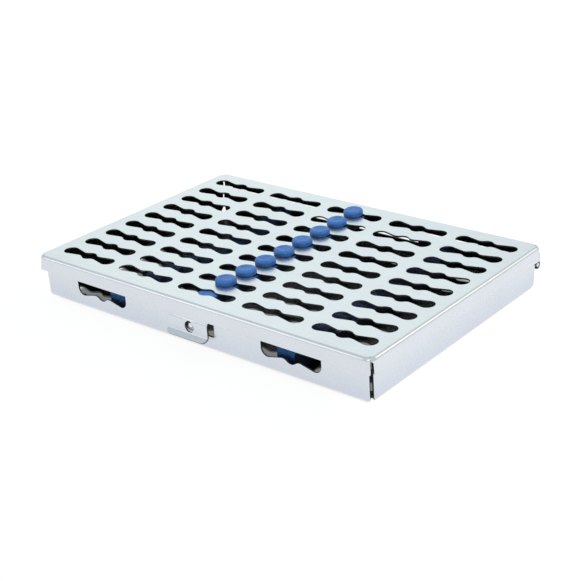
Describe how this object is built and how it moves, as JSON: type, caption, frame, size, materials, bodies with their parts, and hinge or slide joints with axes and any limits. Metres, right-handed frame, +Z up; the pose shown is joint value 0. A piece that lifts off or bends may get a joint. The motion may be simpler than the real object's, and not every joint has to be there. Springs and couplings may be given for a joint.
{
  "type": "instrument sterilization cassette",
  "caption": "Shallow perforated steel box with a hinged, latched lid and soft notched strips that hold dental instruments for washing and sterilizing.",
  "frame": {"origin": "centre of the bottom of the whole part's box, on the surface it stands on, halfway between the latch lip's front and the back of the lid's rear flange", "axes": "+X along the long side to the right seen from the latch, +Y from the latch at the front to the hinge at the rear, +Z up"},
  "size_m": [0.185, 0.128, 0.026],
  "materials": {
    "tray_steel": "fine satin stainless sheet",
    "lid_steel": "fine satin stainless sheet",
    "polished_steel": "polished stainless rivet and pin",
    "blue_silicone": "matt translucent royal-blue silicone"
  },
  "bodies": {
    "base": {"base_tray": "tray_steel", "latch_stud": "polished_steel", "base_strip_left": "blue_silicone", "base_strip_right": "blue_silicone", "hinge_pin": "polished_steel"},
    "lid": {"lid_cover": "lid_steel", "lid_strip": "blue_silicone"},
    "latch": {"latch_tab": "lid_steel"}
  },
  "joints": [
    {"name": "lid_hinge", "type": "hinge", "parent": "base", "child": "lid", "pos_m": [0, 0.0621, 0.0141], "axis": [-1, 0, 0], "range_deg": [0, 150]},
    {"name": "latch_flex", "type": "hinge", "parent": "lid", "child": "latch", "pos_m": [0, -0.06065, 0.0161], "axis": [-1, 0, 0], "range_deg": [0, 12], "stiffness_Nm_per_rad": 0.4}
  ]
}
